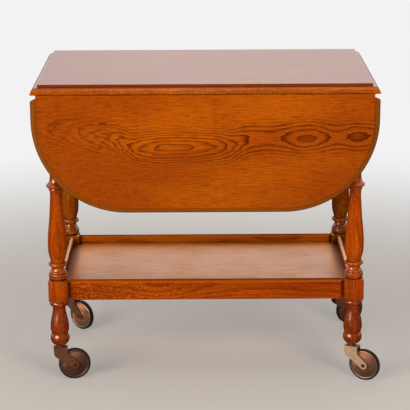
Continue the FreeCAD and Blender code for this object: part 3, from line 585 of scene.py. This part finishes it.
class TROLLEY_OT_tray(bpy.types.Operator):
    """Finish the tray board and its four rails"""
    bl_idname = "trolley.tray"
    bl_label = "Tray"

    def execute(self, context):
        oak = context.scene.trolley_oak
        cut = Board("tray_board", (X, Y, Z), 0.09, -0.05, seed=57.0)
        # The tray's ends drift to a painted shade and reflection of the legs and end rails.
        tray = Oak(oak.tray_tan, oak.tray_end_shade, oak.tray_brown, contrast=0.7, drift=0.1,
                   ends=(1.0, 0.312, 0.336), corner=0.010, clouds=0.35,
                   gloss={"Coat Roughness": 0.32, "Coat IOR": 2.1})
        dress("tray_board", oak_finish("oak_tray", oak, cut, tray))
        for number, name in enumerate(("front", "back", "left", "right")):
            grain = (X, Z, Y) if name in SIDES else (Y, Z, X)
            cut = Board(f"tray_rail_{name}", grain, 0.05, 0.02, seed=61.0 + 4 * number)
            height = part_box(f"tray_rail_{name}")[1].z
            if name in SIDES:
                light = [c * 1.15 for c in oak.fumed] if name == "back" else oak.russet
                # The front and back rails' moulding gets a painted highlight in honey.
                rail = Oak(light, oak.mahogany, oak.chestnut, contrast=0.6, drift=0.7, fleck=0.45,
                           calm=(-0.15, 0.05), relief=0.00004,
                           band=(Z, *[height - depth for depth in RAIL_HIGHLIGHT], oak.honey, 0.55),
                           polished=(Z, height - RAIL_BARE, height + BEYOND, 0.0, 0.35))
            else:
                # The end rails' tops are painted pale as light and sheen.
                rail = Oak(oak.fumed, oak.mahogany, oak.chestnut, contrast=0.5, relief=0.00001,
                           band=(Z, height - END_RAIL_LIT_TOP, height + BEYOND, oak.lit_rail_top, 1.0),
                           polished=(Z, height - END_RAIL_LIT_TOP, height + BEYOND, 1.0, 0.0),
                           gloss={"Coat IOR": 2.0, "Coat Roughness": 0.45})
            dress(f"tray_rail_{name}", oak_finish(f"oak_rail_{name}", oak, cut, rail))
        return {"FINISHED"}


class TROLLEY_OT_upper_frame(bpy.types.Operator):
    """Finish the rails under the top"""
    bl_idname = "trolley.upper_frame"
    bl_label = "Upper Frame"

    def execute(self, context):
        oak = context.scene.trolley_oak
        for number, name in enumerate(("front", "back", "left", "right")):
            grain = (X, Z, Y) if name in SIDES else (Y, Z, X)
            cut = Board(f"upper_rail_{name}", grain, 0.06, 0.01, seed=83.0 + 4 * number)
            rail = Oak(oak.russet, oak.mahogany, oak.chestnut, contrast=0.6)
            material = oak_finish(f"oak_upper_{name}", oak, cut, rail)
            dress(f"upper_rail_{name}", material)
        return {"FINISHED"}


class TROLLEY_OT_ironwork(bpy.types.Operator):
    """Finish the hinges, the leaf stays and their screws"""
    bl_idname = "trolley.ironwork"
    bl_label = "Hinges, Stays and Screws"

    def execute(self, context):
        metal = context.scene.trolley_metal
        iron = metal_finish("iron", metal, metal.iron, metal.screw, wear=0.6, rusting=0.45,
                            roughness=0.38, metallic=0.9)
        steel = metal_finish("screw_steel", metal, metal.screw, metal.screw, wear=0.2, rusting=0.3,
                             roughness=0.30, metallic=1.0)
        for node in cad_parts:
            if node.startswith(("hinge_", "stay_")) and "rivets" not in node:
                dress(node, iron)
            elif "screws" in node or "rivets" in node:
                dress(node, steel)
        return {"FINISHED"}


class TROLLEY_OT_casters(bpy.types.Operator):
    """Finish the caster sockets, forks and axles"""
    bl_idname = "trolley.casters"
    bl_label = "Casters"

    def execute(self, context):
        metal = context.scene.trolley_metal
        brown = metal_finish("bronzed_steel", metal, metal.bronzed, metal.copper, wear=0.7,
                             rusting=0.5, roughness=0.42, metallic=0.6)
        bright = metal_finish("rubbed_brass", metal, metal.worn_brass, metal.rubbed, wear=0.7,
                              rusting=0.35, roughness=0.42, metallic=0.2)
        rivet = metal_finish("rivet_steel", metal, metal.soot_and_shade, metal.bronzed, wear=0.8, rusting=0.3,
                             roughness=0.4, metallic=0.5)
        dress("caster_sockets", brown)
        for side in SIDES:
            for hand in HANDS:
                rubbed = (side, hand) == ("front", "right")
                dress(f"caster_fork_{side}_{hand}", bright if rubbed else brown)
                dress(f"caster_axle_{side}_{hand}", rivet)
        return {"FINISHED"}


class TROLLEY_OT_wheels(bpy.types.Operator):
    """Finish the wheel discs and tyres"""
    bl_idname = "trolley.wheels"
    bl_label = "Wheels"

    def execute(self, context):
        metal = context.scene.trolley_metal
        rubber = rubber_finish("rubber", metal)
        # Painted light and shade: each disc is drawn lighter or darker by how much light reaches it.
        disc_light_and_shade = {("front", "left"): 0.65, ("front", "right"): 0.9, ("back", "left"): 1.6,
                  ("back", "right"): 0.6}
        for (side, hand), light in disc_light_and_shade.items():
            name = f"wheel_disc_{side}_{hand}"
            dress(name, disc_finish(name, metal, light, side, hand))
            dress(f"tyre_{side}_{hand}", rubber)
        return {"FINISHED"}


class TROLLEY_OT_stage(bpy.types.Operator):
    """Set the floor, the light and the camera"""
    bl_idname = "trolley.stage"
    bl_label = "Stage"

    def execute(self, context):
        stage = context.scene.trolley_stage
        lay_floor(stage)
        light_room(context.scene, stage)
        hang_lamp("key", stage.key, (-2.45, -2.75, 1.45), (2.2, 1.8))
        fill = hang_lamp("fill", stage.fill, (1.5, -2.85, 1.45), (1.2, 1.8))
        fill.visible_glossy = False  # so that varnish shows one lamp in front and not two
        hang_lamp("overhead", stage.overhead, (0.0, -0.3, 3.0), (2.6, 2.0))
        hang_lamp("behind", stage.behind, (0.4, 2.3, 2.3), (1.8, 1.4))
        place_camera(context.scene, stage.lens)
        context.scene.view_settings.view_transform = "Standard"
        return {"FINISHED"}


def lay_floor(stage):
    """A pale floor that takes the shadow and turns white away from the trolley. Polish sees it dark."""
    deselect()
    bpy.ops.mesh.primitive_plane_add(size=FLOOR_WIDE)
    floor = bpy.context.object
    floor.name = "floor"
    finish = Finish("pale_floor")
    x, y, _ = finish.axes
    finish.feed(finish.shader.inputs["Base Color"], stage.floor)
    finish.shader.inputs["Roughness"].default_value = 0.9
    finish.shader.inputs["Specular IOR Level"].default_value = 0.0
    seen = finish.node("ShaderNodeLightPath", None, None, "Is Camera Ray")
    white = finish.node("ShaderNodeEmission", None, {"Color": WHITE, "Strength": stage.white})
    dim = finish.node("ShaderNodeEmission", None, {"Color": WHITE, "Strength": DIM_FLOOR})
    far = x.size(y).step(stage.floor_reach * 0.3, stage.floor_reach)
    share_white = (far * (1 - NEAR_WHITE) + NEAR_WHITE) * seen
    painted = Value(finish, finish.shader.outputs[0])
    surface = finish.node("ShaderNodeMixShader", None, {0: share_white, 1: painted, 2: white})
    surface = finish.shown_to("Is Glossy Ray", dim, surface)
    finish.feed(finish.nodes["Material Output"].inputs["Surface"], surface)
    floor.data.materials.append(finish.material)


def light_room(scene, stage):
    """White for the eye, the same white behind and dark in front for polish, even light for the rest."""
    world = bpy.data.worlds.new("room")
    world.use_nodes = True
    scene.world = world
    room = Shading(world.node_tree, "Generated")
    _, back, up = room.axes
    even = room.nodes["Background"]
    room.feed(even.inputs["Color"], WHITE)
    room.feed(even.inputs["Strength"], up.step(0.1, 0.8) * (ROOM_ABOVE - stage.room) + stage.room)
    behind = back.step(-0.5, 0.5) * (stage.white - DIM_FRONT) + DIM_FRONT
    mirrored = room.node("ShaderNodeBackground", None, {"Color": WHITE, "Strength": behind})
    seen = room.node("ShaderNodeBackground", None, {"Color": WHITE, "Strength": stage.white})
    surface = room.shown_to("Is Glossy Ray", mirrored, Value(room, even.outputs[0]))
    surface = room.shown_to("Is Camera Ray", seen, surface)
    room.feed(room.nodes["World Output"].inputs["Surface"], surface)


def hang_lamp(name, power, place, size):
    """Hangs a softbox that faces the middle of the trolley."""
    deselect()
    bpy.ops.object.light_add(type="AREA", location=place)
    lamp = bpy.context.object
    lamp.name = name
    low, high = CAD_BOUNDS
    lamp.rotation_euler = ((low + high) / 2 - Vector(place)).to_track_quat("-Z", "Y").to_euler()
    lamp.data.shape = "RECTANGLE"
    lamp.data.size, lamp.data.size_y = size
    lamp.data.energy = power
    lamp.data.color = LAMP_TINT
    return lamp


def place_camera(scene, lens):
    """Stands the camera in front of the trolley, over its top and looking down at it."""
    place = Vector((-0.0183, -3.7618, 1.4178))
    down, turn, lean = 0.2693, 0.0024, -0.0048  # radians
    deselect()
    bpy.ops.object.camera_add(location=place)
    camera = bpy.context.object
    ahead = Vector((math.sin(turn) * math.cos(down), math.cos(turn) * math.cos(down), -math.sin(down)))
    right = Vector((math.cos(turn), -math.sin(turn), 0))
    up = right.cross(ahead)
    tilted_right = right * math.cos(lean) + up * math.sin(lean)
    tilted_up = up * math.cos(lean) - right * math.sin(lean)
    turned = Matrix((tilted_right, tilted_up, -ahead)).transposed()
    camera.rotation_euler = turned.to_euler()
    camera.data.lens = lens
    scene.camera = camera


PIECES = (TROLLEY_OT_boards, TROLLEY_OT_legs, TROLLEY_OT_tray, TROLLEY_OT_upper_frame,
          TROLLEY_OT_ironwork, TROLLEY_OT_casters, TROLLEY_OT_wheels, TROLLEY_OT_stage)
SETTINGS = {"trolley_oak": OakSettings, "trolley_metal": MetalSettings,
            "trolley_stage": StageSettings}


class TROLLEY_PT_panel(bpy.types.Panel):
    """The trolley's pieces and settings"""
    bl_idname = "TROLLEY_PT_panel"
    bl_label = "Tea Trolley"
    bl_space_type = "VIEW_3D"
    bl_region_type = "UI"
    bl_category = "Trolley"

    def draw(self, context):
        for name, group in SETTINGS.items():
            box = self.layout.box()
            for setting in group.__annotations__:
                box.prop(getattr(context.scene, name), setting)
        for piece in PIECES:
            self.layout.operator(piece.bl_idname)


def register():
    for group in (*SETTINGS.values(), *PIECES, TROLLEY_PT_panel):
        bpy.utils.register_class(group)
    for name, group in SETTINGS.items():
        setattr(bpy.types.Scene, name, PointerProperty(type=group))


def unregister():
    for name in SETTINGS:
        delattr(bpy.types.Scene, name)
    for group in (TROLLEY_PT_panel, *reversed(PIECES), *SETTINGS.values()):
        bpy.utils.unregister_class(group)


def main():
    register()
    for piece in PIECES:
        getattr(bpy.ops.trolley, piece.bl_idname.split(".")[1])()


if __name__ == "__main__":
    main()
